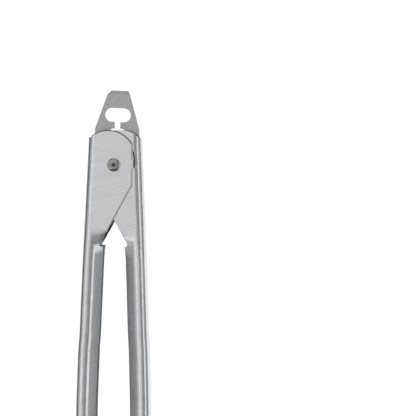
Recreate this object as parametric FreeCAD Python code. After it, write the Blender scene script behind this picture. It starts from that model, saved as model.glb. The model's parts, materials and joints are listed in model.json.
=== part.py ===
# Locking kitchen tongs, upright as they hang. Millimetres, +Z up, +X to the right, front towards -Y.
# Every piece is drawn about the pivot and then moved, so that the origin is the top of the hanging
# hole in the pull tab. The pivot axis runs along Y.
import FreeCAD, Part
import math
import os

os.makedirs("parts", exist_ok=True)

V = FreeCAD.Vector

# pivot
PIN_R = 2.5              # shank the arms turn on
PIN_HOLE_R = 2.55        # holes in the ears
HEAD_R = 4.1             # domed heads
HEAD_H = 2.1
SOCKET_AF = 4.4          # hex socket across flats
SCREW_R = 1.5            # threaded stub

# sheet
SHEET = 1.1
DEPTH = 10.0             # half depth of the arms, front to back
INNER_DEPTH = 8.4        # half depth of the inner arm's ears
CORNER_R = 4.5           # outside radius of the corners beside the ears
GRIP_CORNER_R = 3.9      # and of the same corners down the grip
LIP_R = 5.6              # outside radius of the bend into the lip
LIP_ANGLE = 45.0
EDGE_BREAK = 0.65        # bevel round the outer arm's ears
EAR_ANGLE = 0.3          # the lip's turn where the ear begins, nearly flat

# arm centre line: height above the pivot, half width over the webs
EAR_TOP = 21.6
EAR_R = 17.0
EAR_EDGE = 11.3          # inner edge of the outer arm's ears
INNER_EAR_EDGE = 8.6     # the same on the inner arm, which the outer ears hide
WEB_TOP = 17.0
ARM_SPLIT = -51.2        # where the lips start, below a relief notch
EAR_FLAT = -38.0         # below this the ears begin to turn into the lips
LIP_FULL = -59.0         # and here the lips are at their full angle
JOGGLE = (-30.0, -59.0)  # where the inner arm widens to the depth of the outer one
WIDTH = [(26.0, 15.88), (-22.0, 18.05), (-51.2, 19.3), (-59.0, 19.61), (-64.0, 19.81)]

# channel stations: height, half width, half depth, flange reach, lip length
CHANNEL = [
    (-59.0, 19.61, 10.0, 4.0, 6.25),
    (-75.0, 20.23, 10.0, 4.0, 6.25),
    (-90.0, 20.79, 10.0, 4.0, 6.25),
    (-105.0, 21.32, 10.0, 4.0, 6.25),
]
# the grip swells gently, and the arm then bends in towards the jaw
GRIP = [
    (-105.0, 21.32, 10.0, 4.0, 6.25),
    (-108.5, 21.50, 10.03, 4.0, 6.25),
    (-112.0, 21.76, 10.18, 4.0, 6.25),
    (-115.5, 22.02, 10.35, 4.0, 6.25),
    (-119.0, 22.18, 10.4, 4.0, 6.25),
    (-128.0, 22.45, 10.4, 4.0, 6.25),
    (-142.0, 22.85, 10.4, 4.0, 6.2),
    (-158.0, 23.15, 10.4, 4.0, 6.1),
    (-172.0, 23.00, 10.3, 4.0, 5.8),
    (-188.0, 21.70, 9.9, 4.0, 4.7),
    (-204.0, 19.10, 9.2, 4.0, 3.2),
    (-217.6, 16.25, 8.47, 4.0, 2.0),
]

# jaw: height, depth of the back, half width
JAW_GAP = 0.6            # half the gap between the jaws
JAW = [
    (-206.0, 17.6, 8.6),
    (-214.0, 16.4, 10.8),
    (-222.0, 15.0, 14.4),
    (-230.0, 13.8, 17.2),
    (-238.0, 12.4, 17.8),
    (-246.0, 10.2, 16.0),
    (-252.0, 7.6, 12.6),
    (-256.5, 4.0, 7.4),
]
# scallops down each side: height, half width, turn of the cut
TEETH = [
    (-229.0, 17.0, 0.0),
    (-236.0, 17.8, 0.0),
    (-243.0, 16.9, 25.0),
    (-249.4, 14.4, 45.0),
    (-254.4, 9.8, 62.0),
]

# pull tab
TAB_T = 2.0
TAB_Y = 2.4              # middle of the plate
TAB_LEAN = 2.2           # degrees, top to the right
TAB_LEAN_Z = 19.0        # the height it leans about
TAB_BASE = 14.0          # half width of the base
TAB_SIDE = 0.45          # play to the right
TAB_CORNER_Z = 22.2
TAB_SLOPE = 0.317
TAB_LIP_Z = 44.1
TAB_TOP_Z = 46.6
TAB_FOOT_Z = -9.5
HOLE_W = 16.2
HOLE_Z0 = 26.8
HOLE_Z1 = 35.5
NECK_W = 3.6
SLOT_R = 4.3
TRAVEL = 17.5

# sleeve, washers and spring
SLEEVE_R = 3.5
SLEEVE_HALF = 7.1
WASHER_R = 6.2
WIRE_R = 0.75
COIL_R = 4.95
COIL_PITCH = 1.6
COIL_TURNS = 3
COIL_Y0 = -6.2
LEG_TURN = 22.0          # each leg from the vertical, degrees
FRONT_LEG = 30.2
REAR_LEG = 31.1


def cyl_y(radius, y0, y1, x=0.0, z=0.0):
    return Part.makeCylinder(radius, y1 - y0, V(x, y0, z), V(0, 1, 0))


def prism_y(points, y0, y1):
    """Solid between y0 and y1 from points given as (x, z)."""
    wire = Part.makePolygon([V(x, y0, z) for x, z in points + points[:1]])
    return Part.Face(wire).extrude(V(0, y1 - y0, 0))


def half_width(z):
    """Half width over the webs of the upper part of the arms."""
    for (z0, w0), (z1, w1) in zip(WIDTH, WIDTH[1:]):
        if z >= z1:
            return w0 + (w1 - w0) * (z - z0) / (z1 - z0)
    return WIDTH[-1][1]


def ease(z, start, end):
    """0 at start, 1 at end, level at both."""
    t = min(1.0, max(0.0, (z - start) / (end - start)))
    return t * t * (3 - 2 * t)


def arc(a, m, b):
    return Part.Arc(a, m, b).toShape()


def line(a, b):
    return Part.makeLine(a, b)


def channel_section(z, width, depth, reach, lip, angle, corner_r=GRIP_CORNER_R):
    """Closed wire of the sheet's section for the left arm, webs at -width, open towards +X."""
    t = SHEET
    a = math.radians(angle)
    outer = (0.0, depth - corner_r)
    mid = corner_r * (1 - math.sqrt(0.5))
    corner = (mid, depth - mid)
    outer_end = (corner_r, depth)
    bend0 = (reach, depth)
    centre = (reach, depth - LIP_R)

    def on(radius, turn):
        return (centre[0] + radius * math.sin(turn), centre[1] + radius * math.cos(turn))

    bend1 = on(LIP_R, a)
    tip = (bend1[0] + lip * math.cos(a), bend1[1] - lip * math.sin(a))
    tip_in = (tip[0] - t * math.sin(a), tip[1] - t * math.cos(a))
    bend1_in = on(LIP_R - t, a)
    bend0_in = (reach, depth - t)
    corner_in0 = (corner_r, depth - t)
    r = corner_r - t
    corner_in = (t + r * (1 - math.sqrt(0.5)), depth - t - r * (1 - math.sqrt(0.5)))
    corner_in1 = (t, depth - corner_r)
    side = [
        ("arc", outer, corner, outer_end),
        ("line", outer_end, bend0),
        ("arc", bend0, on(LIP_R, a / 2), bend1),
        ("line", bend1, tip),
        ("line", tip, tip_in),
        ("line", tip_in, bend1_in),
        ("arc", bend1_in, on(LIP_R - t, a / 2), bend0_in),
        ("line", bend0_in, corner_in0),
        ("arc", corner_in0, corner_in, corner_in1),
    ]

    def at(p, sign):
        return V(p[0] - width, sign * p[1], z)

    edges = []
    for item in side:
        pts = [at(p, -1) for p in item[1:]]
        edges.append(arc(*pts) if item[0] == "arc" else line(*pts))
    edges.append(line(at(corner_in1, -1), at(corner_in1, 1)))
    for item in reversed(side):
        pts = [at(p, 1) for p in reversed(item[1:])]
        edges.append(arc(*pts) if item[0] == "arc" else line(*pts))
    edges.append(line(at(outer, 1), at(outer, -1)))
    return Part.Wire(edges)


def ear_section(z, width, depth):
    """Section of the plain channel with long flanges, before its outline is cut."""
    t = SHEET
    m = CORNER_R * (1 - math.sqrt(0.5))
    r = CORNER_R - t
    n = r * (1 - math.sqrt(0.5))
    far = 16.0

    def p(x, y):
        return V(x - width, y, z)

    edges = []
    edges.append(line(V(far, -depth, z), p(CORNER_R, -depth)))
    edges.append(arc(p(CORNER_R, -depth), p(m, m - depth), p(0, CORNER_R - depth)))
    edges.append(line(p(0, CORNER_R - depth), p(0, depth - CORNER_R)))
    edges.append(arc(p(0, depth - CORNER_R), p(m, depth - m), p(CORNER_R, depth)))
    edges.append(line(p(CORNER_R, depth), V(far, depth, z)))
    edges.append(line(V(far, depth, z), V(far, depth - t, z)))
    edges.append(line(V(far, depth - t, z), p(CORNER_R, depth - t)))
    edges.append(arc(p(CORNER_R, depth - t), p(t + n, depth - t - n), p(t, depth - CORNER_R)))
    edges.append(line(p(t, depth - CORNER_R), p(t, CORNER_R - depth)))
    edges.append(arc(p(t, CORNER_R - depth), p(t + n, n + t - depth), p(CORNER_R, t - depth)))
    edges.append(line(p(CORNER_R, t - depth), V(far, t - depth, z)))
    edges.append(line(V(far, t - depth, z), V(far, -depth, z)))
    return Part.Wire(edges)


def ear_outline(edge, lug):
    """The ear seen from the front: round top, straight inner edge, long diagonal, relief notch."""
    y0, y1 = -12.0, 12.0
    middle = EAR_TOP - EAR_R
    top = cyl_y(EAR_R, y0, y1, x=-3.5, z=middle)
    block = prism_y([(-30, middle), (edge, middle), (edge, 40), (-30, 40)], y0, y1)
    top = top.common(block)
    corner = -14.6 - (10.3 - edge) * 34.8 / 18.6
    foot = [(-8.3, -49.4), (-9.0, -50.1), (-9.0, -52.4), (-30, -52.4)]
    points = [(-30, middle), (edge, middle), (edge, corner)] + foot
    if edge > 10.3:
        points[2:3] = [(edge, -13.2), (10.3, -14.6)]
    body = prism_y(points, y0, y1)
    web_top = prism_y([(-30, middle), (-3.5, middle), (-3.5, WEB_TOP), (-30, WEB_TOP)], y0, y1)
    shape = top.fuse(body).fuse(web_top)
    if lug:
        shape = shape.fuse(prism_y([(11.0, 3.2), (12.1, 2.9), (12.1, -1.9), (11.0, -2.2)], y0, y1))
    return shape


def wedge(a, b, side):
    """Cutter that bevels a straight edge of the ears running from a to b, given as (x, z)."""
    along = V(b[0] - a[0], 0, b[1] - a[1])
    out = V(-along.z, 0, along.x)
    out.normalize()
    face = side * DEPTH
    points = []
    for n, y in ((-EDGE_BREAK - 1, face + side), (1, face - side * (EDGE_BREAK + 1)), (1, face + side)):
        points.append(V(a[0], y, a[1]) + out * n)
    return Part.Face(Part.makePolygon(points + points[:1])).extrude(along)


def ear_bevels(edge):
    """Cutters for the bevel round the outline of the ears, front and back."""
    middle = EAR_TOP - EAR_R
    shoulder = middle + math.sqrt(EAR_R ** 2 - (edge + 3.5) ** 2)
    runs = [
        ((edge, shoulder), (edge, 3.3)),
        ((edge, -2.3), (edge, -13.2)),
        ((edge, -13.2), (10.3, -14.6)),
        ((10.3, -14.6), (-8.3, -49.4)),
    ]
    cutters = []
    for side in (-1, 1):
        for start, end in runs:
            cutters.append(wedge(start, end, side))
        inner_y = side * (DEPTH - EDGE_BREAK)
        outer_y = side * (DEPTH + 1)
        ring = cyl_y(EAR_R + 3, min(inner_y, outer_y), max(inner_y, outer_y), -3.5, middle)
        foot = V(-3.5, inner_y, middle)
        cone = Part.makeCone(EAR_R, EAR_R - EDGE_BREAK - 1, 1 + EDGE_BREAK, foot, V(0, side, 0))
        above = prism_y([(-30, shoulder), (30, shoulder), (30, 40), (-30, 40)], -12, 12)
        cutters.append(ring.cut(cone).common(above))
    return cutters


def upper_arm(inner, edge, lug):
    """Ears, and the stretch in which they turn into the lips."""
    def depth(z):
        if inner:
            return INNER_DEPTH + (DEPTH - INNER_DEPTH) * ease(z, *JOGGLE)
        return DEPTH

    ears = [ear_section(z, half_width(z), depth(z)) for z in (26.0, JOGGLE[0])]
    joggle = [ear_section(z, half_width(z), depth(z)) for z in (JOGGLE[0], EAR_FLAT)]
    turn = []
    steps = 7
    for i in range(steps + 1):
        z = EAR_FLAT + (LIP_FULL - EAR_FLAT) * i / steps
        angle = EAR_ANGLE + (LIP_ANGLE - EAR_ANGLE) * ease(z, EAR_FLAT, LIP_FULL)
        lip = CHANNEL[0][4] + 8.0 * (1 - i / steps) ** 4
        corner = GRIP_CORNER_R + (CORNER_R - GRIP_CORNER_R) * (1 - i / steps)
        reach = corner + CHANNEL[0][3] - GRIP_CORNER_R
        turn.append(channel_section(z, half_width(z), depth(z), reach, lip, angle, corner))
    top = Part.makeLoft(ears, True, True).fuse(Part.makeLoft(joggle, True, True))
    web = prism_y([(-40, WEB_TOP), (-14.2, WEB_TOP), (-14.2, 40), (-40, 40)], -12, 12)
    outline = ear_outline(edge, lug)
    top = top.common(outline).cut(web)
    low = Part.makeLoft(turn, True, False)
    notch_below = prism_y([(-30, ARM_SPLIT), (30, ARM_SPLIT), (30, -70), (-30, -70)], -12, 12)
    low = low.common(outline.fuse(notch_below))
    arm = top.fuse(low).cut(cyl_y(PIN_HOLE_R, -12, 12))
    return arm if inner else arm.cut(ear_bevels(edge))


def boat(rows, shrink):
    """Solid between the jaw plane and a rounded back, lofted down the jaw."""
    wires = []
    for z, back, half in rows:
        points = []
        for i in range(9):
            turn = math.pi * i / 8
            x = -JAW_GAP - (back - shrink) * math.sin(turn)
            points.append(V(x, -(half - shrink) * math.cos(turn), z))
        curve = Part.BSplineCurve()
        curve.interpolate(points)
        wires.append(Part.Wire([curve.toShape(), line(points[-1], points[0])]))
    return Part.makeLoft(wires, True, False)


def jaw():
    """Scalloped scoop, open towards +X, and the hollow inside it."""
    outer = boat(JAW, 0.0)
    z, back, half = JAW[-1]
    rows = JAW[:-1] + [(z + SHEET, back + 0.8, half + 0.9)]
    rows[0] = (JAW[0][0] + 1.0, JAW[0][1], JAW[0][2])
    inner = boat(rows, SHEET)
    shell = outer.cut(inner)
    rim = [(-10.5, JAW[0][0] + 2), (-8.9, -208.5), (-6.8, -212.5), (-4.6, -216.5), (-2.7, -220.0),
           (-1.3, -223.5), (-JAW_GAP, -227.0), (30, -227.0), (30, JAW[0][0] + 2)]
    shell = shell.cut(prism_y(rim, -40, 40))
    for z, half, tilt in TEETH:
        for side in (-1, 1):
            out = V(0, side * math.cos(math.radians(tilt)), -math.sin(math.radians(tilt)))
            start = V(-JAW_GAP + 0.9, side * half, z) - out * 5
            shell = shell.cut(Part.makeCylinder(2.7, 10, start, out))
    return shell, inner


def lower_arm():
    def loft(rows, ruled):
        wires = []
        for z, w, d, reach, lip in rows:
            wires.append(channel_section(z, w, d, reach, lip, LIP_ANGLE))
        return Part.makeLoft(wires, True, ruled)

    return loft(CHANNEL, False).fuse(loft(GRIP, False))


def build_arm(inner, edge, lug):
    arm = upper_arm(inner, edge, lug)
    low = lower_arm()
    scoop, hollow = jaw()
    beyond = Part.makeBox(60, 60, 60, V(-JAW_GAP, -30, -280))
    low = low.cut(hollow).cut(beyond)
    arm = arm.fuse(low).fuse(scoop)
    return arm


def left_arm():
    return build_arm(False, EAR_EDGE, True)


def right_arm():
    arm = build_arm(True, INNER_EAR_EDGE, False)
    slot = [(11.5, 9.2), (12.4, 7.8), (12.9, 5.0), (13.0, 2.0), (12.6, -2.2), (12.0, -2.0),
            (12.2, 2.0), (12.0, 5.0), (11.6, 7.4)]
    mirrored = arm.mirror(V(0, 0, 0), V(1, 0, 0))
    return mirrored.cut(prism_y(slot, -12, -5)).cut(prism_y(slot, 5, 12))


def tab_half(z):
    return TAB_BASE - max(0.0, z - TAB_CORNER_Z) * TAB_SLOPE


def lean(shape):
    """Lean the tab about the height of the web tops."""
    shape = shape.copy()
    shape.rotate(V(0, 0, TAB_LEAN_Z), V(0, 1, 0), TAB_LEAN)
    shape.translate(V(TAB_SIDE, 0, 0))
    return shape


def obround(width, height, y0, y1, z):
    """Level obround with its lower edge at z."""
    r = height / 2
    x = width / 2 - r
    bar = Part.makeBox(2 * x, y1 - y0, height, V(-x, y0, z))
    return bar.fuse(cyl_y(r, y0, y1, x, z + r)).fuse(cyl_y(r, y0, y1, -x, z + r))


def pull_tab():
    y0 = TAB_Y - TAB_T / 2
    y1 = TAB_Y + TAB_T / 2
    top = tab_half(TAB_LIP_Z)
    outline = [(-TAB_BASE + 1.5, TAB_FOOT_Z), (TAB_BASE - 1.5, TAB_FOOT_Z),
               (TAB_BASE, TAB_FOOT_Z + 4), (TAB_BASE, TAB_CORNER_Z), (top, TAB_LIP_Z),
               (-top, TAB_LIP_Z), (-TAB_BASE, TAB_CORNER_Z), (-TAB_BASE, TAB_FOOT_Z + 4)]
    plate = prism_y(outline, y0, y1)
    # thumb lip, bent back a little
    end = tab_half(TAB_TOP_Z)
    lip = prism_y([(-top, TAB_LIP_Z), (top, TAB_LIP_Z), (end - 0.1, TAB_TOP_Z - 0.3),
                   (end - 0.5, TAB_TOP_Z), (1.4 - end, TAB_TOP_Z), (0.1 - end, TAB_TOP_Z - 1.8)], y0, y1)
    lip.rotate(V(0, y0, TAB_LIP_Z), V(1, 0, 0), -20)
    plate = plate.fuse(lip)
    plate = plate.cut(obround(HOLE_W, HOLE_Z1 - HOLE_Z0, y0 - 3, y1 + 3, HOLE_Z0))
    neck = Part.makeBox(NECK_W, TAB_T + 6, 8, V(-NECK_W / 2, y0 - 3, HOLE_Z0 - 7))
    slot_top = TRAVEL + SLOT_R
    slot = prism_y([(-SLOT_R, 0), (SLOT_R, 0), (SLOT_R, slot_top), (SLOT_R - 0.8, slot_top + 0.8),
                    (0.8 - SLOT_R, slot_top + 0.8), (-SLOT_R, slot_top)], y0 - 3, y1 + 3)
    plate = plate.cut(neck).cut(slot).cut(cyl_y(SLOT_R, y0 - 3, y1 + 3))
    return lean(plate)


def domed_head(y, out):
    """Domed head on a flat at y, facing out = -1 (front) or 1 (back)."""
    rim = 0.9
    rise = HEAD_H - rim
    ball = (HEAD_R * HEAD_R + rise * rise) / (2 * rise)
    disc = cyl_y(HEAD_R, min(y, y + out * HEAD_H), max(y, y + out * HEAD_H))
    dome = Part.makeSphere(ball, V(0, y + out * (HEAD_H - ball), 0))
    return disc.common(dome)


def pivot_screw():
    face = -DEPTH - 0.1
    head = domed_head(face, -1)
    points = []
    for i in range(6):
        turn = math.radians(60 * i + 12)
        r = SOCKET_AF / math.sqrt(3)
        points.append((r * math.cos(turn), r * math.sin(turn)))
    socket = prism_y(points, face - HEAD_H - 1, face - 0.4)
    point = Part.makeCone(1.3, 0.0, 1.3, V(0, face - 0.4, 0), V(0, 1, 0))
    stub = cyl_y(SCREW_R, face, face + 8.0)
    return head.fuse(stub).cut(socket).cut(point)


def pivot_barrel():
    front = -DEPTH - 0.1
    back = DEPTH + 0.1
    shank = cyl_y(PIN_R, front, back)
    return shank.fuse(domed_head(back, 1)).cut(cyl_y(SCREW_R, front - 1, front + 8.6))


def spacer_sleeve():
    return cyl_y(SLEEVE_R, -SLEEVE_HALF, SLEEVE_HALF).cut(cyl_y(PIN_R, -8, 8))


def guide_washer(y0, y1):
    return cyl_y(WASHER_R, y0, y1).cut(cyl_y(SLEEVE_R, y0 - 1, y1 + 1))


def torsion_spring():
    """Coil round the sleeve, clockwise from the front, with a straight leg down to each web."""
    turns = COIL_TURNS + (180.0 - 2 * LEG_TURN) / 360.0
    helix = Part.makeHelix(COIL_PITCH, COIL_PITCH * turns, COIL_R)
    # the helix starts on +X and climbs +Z: stand it along +Y, then turn its start to the left leg
    helix.rotate(V(0, 0, 0), V(1, 0, 0), -90)
    helix.rotate(V(0, 0, 0), V(0, 1, 0), LEG_TURN - 180)
    helix.translate(V(0, COIL_Y0, 0))
    edge = helix.Edges[0]
    first = edge.valueAt(edge.FirstParameter)
    last = edge.valueAt(edge.LastParameter)
    circle = Part.Wire(Part.makeCircle(WIRE_R, first, edge.tangentAt(edge.FirstParameter)))
    solid = Part.Wire(helix.Edges).makePipeShell([circle], True, True)
    turn = math.radians(LEG_TURN)
    for point, side, length in ((first, -1, FRONT_LEG), (last, 1, REAR_LEG)):
        way = V(side * math.sin(turn), 0, -math.cos(turn))
        leg = Part.makeCylinder(WIRE_R, length, point, way)
        ends = Part.makeSphere(WIRE_R, point).fuse(Part.makeSphere(WIRE_R, point + way * length))
        solid = solid.fuse(leg).fuse(ends)
    return solid


def hanging_point():
    """Top of the hanging hole, measured from the pivot."""
    turn = math.radians(TAB_LEAN)
    reach = HOLE_Z1 - TAB_LEAN_Z
    return V(TAB_SIDE + reach * math.sin(turn), TAB_Y, TAB_LEAN_Z + reach * math.cos(turn))


def place(shape):
    """Move a shape drawn about the pivot into the frame of the hanging point."""
    shape = shape.copy()
    shape.translate(hanging_point() * -1.0)
    shape = shape.removeSplitter()
    if shape.ShapeType == "Compound" and len(shape.Solids) == 1:
        shape = shape.Solids[0]
    return shape


NODES = {
    "left_arm": left_arm,
    "right_arm": right_arm,
    "pull_tab": pull_tab,
    "pivot_screw": pivot_screw,
    "pivot_barrel": pivot_barrel,
    "spacer_sleeve": spacer_sleeve,
    "guide_washer_front": lambda: guide_washer(TAB_Y - 2.0, TAB_Y - 1.2),
    "guide_washer_rear": lambda: guide_washer(TAB_Y + 1.2, SLEEVE_HALF),
    "torsion_spring": torsion_spring,
}

for name, maker in NODES.items():
    shape = place(maker())
    print(name, shape.ShapeType, shape.isValid(), round(shape.Volume, 1))
    shape.exportStep("parts/" + name + ".step")
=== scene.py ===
"""Locking kitchen tongs: satin steel, studio light, upright as they hang."""
import json
import math

import bmesh
import bpy
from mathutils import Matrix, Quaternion, Vector


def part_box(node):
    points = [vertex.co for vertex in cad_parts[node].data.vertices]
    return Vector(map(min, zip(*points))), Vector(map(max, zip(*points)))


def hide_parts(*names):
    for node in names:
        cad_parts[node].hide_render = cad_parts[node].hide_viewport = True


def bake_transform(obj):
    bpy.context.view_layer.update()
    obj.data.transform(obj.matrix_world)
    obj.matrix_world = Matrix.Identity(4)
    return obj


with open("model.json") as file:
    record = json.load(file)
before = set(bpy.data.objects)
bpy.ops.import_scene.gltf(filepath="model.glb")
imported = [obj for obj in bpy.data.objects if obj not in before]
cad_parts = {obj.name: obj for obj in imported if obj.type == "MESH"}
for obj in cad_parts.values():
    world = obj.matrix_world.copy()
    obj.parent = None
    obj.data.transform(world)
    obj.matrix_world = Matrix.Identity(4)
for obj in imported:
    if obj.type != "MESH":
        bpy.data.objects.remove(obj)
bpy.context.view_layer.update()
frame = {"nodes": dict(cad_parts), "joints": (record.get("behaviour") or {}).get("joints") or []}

joints = {j["name"]: j for j in frame["joints"]}
PIVOT = Vector(joints["left_arm_swing"]["pos_m"])

# camera
LENS = 100.0
SENSOR = 36.0
DISTANCE = 0.728
AZIMUTH = math.radians(2.5)
ELEVATION = math.radians(3.0)
ROLL = math.radians(0.7)         # the tongs stand a little clockwise of upright
AIM = PIVOT + Vector((0.0583, 0.0024, -0.0266))

# finishes, and painted shade in the screw's socket
NOISE_LOW, NOISE_HIGH = 0.3, 0.7         # the part of a noise's output that is used
LINE_LENGTH = 1 / 60.0                   # a brush line's size along its lay, in metres
GLOSS_DOWN, GLOSS_UP = 0.01, 0.015       # how far brush lines move the roughness
BUMP_HEIGHT = 0.00008
SOCKET_DEPTH = 0.0005                    # behind the front of the screw's head
SOCKET_R = 0.00265
# painted shade: share of the base colour kept in the screw's socket
SOCKET_PAINTED_SHADE = 0.75

# torsion spring: the coil is centred on the pivot's axis, and both legs lie at LEG_TURN to the
# vertical
WIRE_R = 0.00075
COIL_R = 0.00495
COIL_PITCH = 0.0016
COIL_Y0 = -0.0062
LEG_TURN = math.radians(22.0)
COIL_SWEEP = 3 * 2 * math.pi + math.pi - 2 * LEG_TURN
LEGS = {-1: 0.0302, 1: 0.0311}
AROUND = 16                              # points round the wire
TIP_RINGS, LEG_RINGS, COIL_RINGS = 6, 26, 84
TIP_LEAST = 0.02                         # smallest ring of the rounded tip, as a share of WIRE_R

# studio
WALL_HALF, WALL_BACK, WALL_LOW, WALL_HIGH = 1.9, 1.2, -2.0, 3.0
MIDDLE = PIVOT + Vector((0.0, 0.0, -0.05))
PANEL_TALL = 1.8
# tall panels round the tongs: name, middle (degrees to the right of the camera side), distance,
# width, brightness
PANELS = [
    ("front_panel", -14.0, 1.25, 0.86, 0.72),
    ("edge_panel", -37.0, 1.25, 0.16, 1.5),
    ("front_left_panel", -54.0, 1.25, 0.56, 0.50),
    ("left_panel", -75.0, 1.25, 0.36, 0.30),
    ("front_edge", 8.5, 1.25, 0.10, 0.42),
    ("gap_fill", 24.0, 1.25, 0.42, 0.26),
    ("right_panel", 59.0, 1.25, 0.58, 1.05),
    ("side_fill", 90.0, 1.25, 0.46, 0.42),
]
WORLD_STRENGTH = 0.15


def node(tree, kind, **values):
    made = tree.nodes.new(kind)
    for key, value in values.items():
        setattr(made, key, value)
    return made


def blank(name):
    """New node material: the material, its tree and its shader."""
    material = bpy.data.materials.new(name)
    material.use_nodes = True
    tree = material.node_tree
    return material, tree, tree.nodes["Principled BSDF"]


def object_place(tree):
    return node(tree, "ShaderNodeTexCoord").outputs["Object"]


def noise(tree, place, scale, **values):
    """Value of a noise texture; values are its other inputs, by name."""
    made = node(tree, "ShaderNodeTexNoise")
    made.inputs["Scale"].default_value = scale
    for key, value in values.items():
        made.inputs[key].default_value = value
    tree.links.new(place, made.inputs["Vector"])
    return made.outputs["Fac"]


def span(tree, value, low, high, start=NOISE_LOW, end=NOISE_HIGH):
    """Value from start to end turned into low to high."""
    made = node(tree, "ShaderNodeMapRange")
    made.inputs["From Min"].default_value = start
    made.inputs["From Max"].default_value = end
    made.inputs["To Min"].default_value = low
    made.inputs["To Max"].default_value = high
    tree.links.new(value, made.inputs["Value"])
    return made.outputs["Result"]


def product(tree, first, second):
    made = node(tree, "ShaderNodeMath", operation="MULTIPLY")
    tree.links.new(first, made.inputs[0])
    tree.links.new(second, made.inputs[1])
    return made.outputs["Value"]


def compare(tree, operation, value, limit):
    made = node(tree, "ShaderNodeMath", operation=operation)
    made.inputs[1].default_value = limit
    tree.links.new(value, made.inputs[0])
    return made.outputs["Value"]


def paint(tree, shader, share, colour=None, source=None):
    """Base colour: a constant colour, or a colour made by nodes, times share."""
    made = node(tree, "ShaderNodeVectorMath", operation="SCALE")
    if source is None:
        made.inputs[0].default_value = colour
    else:
        tree.links.new(source, made.inputs[0])
    tree.links.new(share, made.inputs["Scale"])
    tree.links.new(made.outputs["Vector"], shader.inputs["Base Color"])


def steel(name, colour, rough, brush, spread, bump, smudge=0.03, lay=-20.0, cloud_size=90.0):
    """Satin steel with fine brush lines, lay degrees from level."""
    material, tree, shader = blank(name)
    shader.inputs["Metallic"].default_value = 1.0
    place = object_place(tree)
    mapping = node(tree, "ShaderNodeMapping")
    mapping.vector_type = "TEXTURE"
    mapping.inputs["Scale"].default_value = (LINE_LENGTH, LINE_LENGTH, 1 / brush)
    mapping.inputs["Rotation"].default_value = (0.0, math.radians(lay), 0.0)
    tree.links.new(place, mapping.inputs["Vector"])
    lines = noise(tree, mapping.outputs["Vector"], 1.0, Detail=4.0, Roughness=0.7)
    cloud = noise(tree, place, cloud_size, Detail=3.0)

    tone = span(tree, lines, 1.0 - spread, 1.0 + spread)
    haze = span(tree, cloud, 1.0 - smudge, 1.0 + smudge)
    paint(tree, shader, product(tree, tone, haze), colour=colour)
    gloss = span(tree, lines, rough - GLOSS_DOWN, rough + GLOSS_UP)
    tree.links.new(gloss, shader.inputs["Roughness"])
    relief = node(tree, "ShaderNodeBump")
    relief.inputs["Strength"].default_value = bump
    relief.inputs["Distance"].default_value = BUMP_HEIGHT
    tree.links.new(lines, relief.inputs["Height"])
    tree.links.new(relief.outputs["Normal"], shader.inputs["Normal"])
    return material


def paint_socket_shade(material, front, radius, shade):
    """Painted shade: darken the base colour of what lies inside a socket, behind front and
    within radius of the pivot's axis.
    """
    tree = material.node_tree
    shader = tree.nodes["Principled BSDF"]
    source = shader.inputs["Base Color"].links[0].from_socket
    place = object_place(tree)
    offset = node(tree, "ShaderNodeVectorMath", operation="SUBTRACT")
    offset.inputs[1].default_value = PIVOT
    tree.links.new(place, offset.inputs[0])
    flat = node(tree, "ShaderNodeVectorMath", operation="MULTIPLY")
    flat.inputs[1].default_value = (1.0, 0.0, 1.0)
    tree.links.new(offset.outputs["Vector"], flat.inputs[0])
    reach = node(tree, "ShaderNodeVectorMath", operation="LENGTH")
    tree.links.new(flat.outputs["Vector"], reach.inputs[0])
    split = node(tree, "ShaderNodeSeparateXYZ")
    tree.links.new(place, split.inputs["Vector"])
    near = compare(tree, "LESS_THAN", reach.outputs["Value"], radius)
    behind = compare(tree, "GREATER_THAN", split.outputs["Y"], front)
    inside = product(tree, near, behind)
    paint(tree, shader, span(tree, inside, 1.0, shade, 0.0, 1.0), source=source)


def plastic(name, colour):
    """Moulded plastic with a fine grain."""
    material, tree, shader = blank(name)
    shader.inputs["Roughness"].default_value = 0.45
    grain = noise(tree, object_place(tree), 900.0)
    paint(tree, shader, span(tree, grain, 0.92, 1.05, 0.0, 1.0), colour=colour)
    return material


def dress(material, *names):
    for name in names:
        thing = frame["nodes"][name]
        thing.data.materials.clear()
        thing.data.materials.append(material)


def coil_ring(swept):
    """Centre of the wire after it has swept this angle, with two directions across it."""
    turn = math.pi - LEG_TURN - swept
    out = Vector((math.cos(turn), 0.0, math.sin(turn)))
    rise = Vector((0.0, COIL_Y0 + COIL_PITCH * swept / (2 * math.pi), 0.0))
    centre = PIVOT + out * COIL_R + rise
    slope = COIL_PITCH / (2 * math.pi * COIL_R)
    way = Vector((math.sin(turn), slope, -math.cos(turn))).normalized()
    return centre, out, way.cross(out)


def spring_rings(side):
    """Rings along half the wire, tip first: centre, two directions across it, radius."""
    start = 0.0 if side < 0 else COIL_SWEEP
    foot, out, across = coil_ring(start)
    way = Vector((side * math.sin(LEG_TURN), 0.0, -math.cos(LEG_TURN)))
    length = LEGS[side]
    rings = []
    for i in range(TIP_RINGS):
        round_off = math.pi / 2 * (1 - i / TIP_RINGS)
        at = foot + way * (length + WIRE_R * math.sin(round_off))
        rings.append((at, out, across, max(WIRE_R * math.cos(round_off), WIRE_R * TIP_LEAST)))
    for i in range(LEG_RINGS):
        rings.append((foot + way * length * (1 - i / LEG_RINGS), out, across, WIRE_R))
    for i in range(COIL_RINGS + 1):
        centre, out, across = coil_ring(start + (COIL_SWEEP / 2 - start) * i / COIL_RINGS)
        rings.append((centre, out, across, WIRE_R))
    return rings


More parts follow.
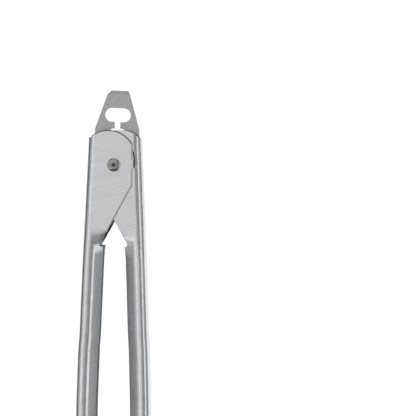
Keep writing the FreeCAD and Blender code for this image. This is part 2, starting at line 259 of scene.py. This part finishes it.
def spring_half(name, side, material):
    """One leg and the half of the coil next to it."""
    rings = spring_rings(side)
    points = []
    for centre, out, across, radius in rings:
        for k in range(AROUND):
            a = 2 * math.pi * k / AROUND
            points.append(centre + (out * math.cos(a) + across * math.sin(a)) * radius)
    faces = [tuple(range(AROUND)), tuple(range(len(points) - AROUND, len(points)))[::-1]]
    for i in range(len(rings) - 1):
        for k in range(AROUND):
            a, b = i * AROUND + k, i * AROUND + (k + 1) % AROUND
            faces.append((a, a + AROUND, b + AROUND, b))
    mesh = bpy.data.meshes.new(name)
    mesh.from_pydata(points, [], faces)
    work = bmesh.new()
    work.from_mesh(mesh)
    bmesh.ops.recalc_face_normals(work, faces=work.faces)
    work.to_mesh(mesh)
    work.free()
    for face in mesh.polygons:
        face.use_smooth = len(face.vertices) == 4
    mesh.materials.append(material)
    half = bpy.data.objects.new(name, mesh)
    bpy.context.collection.objects.link(half)
    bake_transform(half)
    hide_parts("torsion_spring")


def camera():
    data = bpy.data.cameras.new("camera")
    data.type = "PERSP"
    data.lens = LENS
    data.sensor_width = SENSOR
    data.clip_start = 0.01
    cam = bpy.data.objects.new("camera", data)
    bpy.context.collection.objects.link(cam)
    out = Vector((math.sin(AZIMUTH) * math.cos(ELEVATION),
                  -math.cos(AZIMUTH) * math.cos(ELEVATION), math.sin(ELEVATION)))
    cam.location = AIM + out * DISTANCE
    roll = Quaternion(out, ROLL)
    cam.rotation_euler = (roll @ (-out).to_track_quat("-Z", "Y")).to_euler()
    bpy.context.scene.camera = cam


def panel(name, where, wide, tall, bright):
    """Rectangular lamp that faces MIDDLE; its power grows with its area."""
    data = bpy.data.lights.new(name, "AREA")
    data.shape = "RECTANGLE"
    data.size = wide
    data.size_y = tall
    data.energy = bright * math.pi * wide * tall
    lamp = bpy.data.objects.new(name, data)
    bpy.context.collection.objects.link(lamp)
    lamp.location = where
    lamp.rotation_euler = (MIDDLE - where).to_track_quat("-Z", "Y").to_euler()


def backdrop():
    """White wall behind the hanging tongs."""
    points = [(-WALL_HALF, WALL_BACK, WALL_LOW), (WALL_HALF, WALL_BACK, WALL_LOW),
              (WALL_HALF, WALL_BACK, WALL_HIGH), (-WALL_HALF, WALL_BACK, WALL_HIGH)]
    mesh = bpy.data.meshes.new("backdrop")
    mesh.from_pydata(points, [], [(0, 1, 2, 3)])
    sheet = bpy.data.objects.new("backdrop", mesh)
    bpy.context.collection.objects.link(sheet)
    material, _, shader = blank("backdrop")
    shader.inputs["Base Color"].default_value = (0.1, 0.1, 0.1, 1.0)
    shader.inputs["Roughness"].default_value = 0.9
    shader.inputs["Emission Color"].default_value = (1.0, 1.0, 1.0, 1.0)
    shader.inputs["Emission Strength"].default_value = 1.0
    mesh.materials.append(material)


def studio():
    backdrop()
    for name, degrees, reach, wide, bright in PANELS:
        turn = math.radians(degrees)
        where = MIDDLE + Vector((math.sin(turn), -math.cos(turn), 0.0)) * reach
        panel(name, where, wide, PANEL_TALL, bright)
    panel("rear_panel", MIDDLE + Vector((0.0, 0.9, 1.15)), 0.9, 0.6, 0.60)
    panel("top_panel", MIDDLE + Vector((0.0, -0.95, 0.95)), 1.2, 0.7, 0.55)
    world = bpy.data.worlds.new("world")
    world.use_nodes = True
    background = world.node_tree.nodes["Background"]
    background.inputs["Color"].default_value = (1.0, 1.0, 1.0, 1.0)
    background.inputs["Strength"].default_value = WORLD_STRENGTH
    bpy.context.scene.world = world
    bpy.context.scene.view_settings.view_transform = "Standard"


ARM = steel("arm_steel", (0.64, 0.65, 0.67), 0.24, 1900.0, 0.075, 0.010)
TAB = steel("tab_steel", (0.42, 0.42, 0.437), 0.28, 1400.0, 0.05, 0.08,
            smudge=0.10, cloud_size=600.0)
PIVOT_STEEL = steel("pivot_steel", (0.42, 0.42, 0.41), 0.22, 700.0, 0.05, 0.05)
# painted shade in the pivot screw's socket
paint_socket_shade(PIVOT_STEEL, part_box("pivot_screw")[0][1] + SOCKET_DEPTH, SOCKET_R, SOCKET_PAINTED_SHADE)
WIRE = steel("spring_steel", (0.45, 0.45, 0.46), 0.22, 500.0, 0.05, 0.05)
NYLON = plastic("nylon", (0.78, 0.78, 0.75))

dress(ARM, "left_arm", "right_arm")
dress(TAB, "pull_tab")
dress(PIVOT_STEEL, "pivot_screw", "pivot_barrel")
dress(NYLON, "spacer_sleeve", "guide_washer_front", "guide_washer_rear")
spring_half("spring_front_half", -1, WIRE)
spring_half("spring_rear_half", 1, WIRE)
camera()
studio()
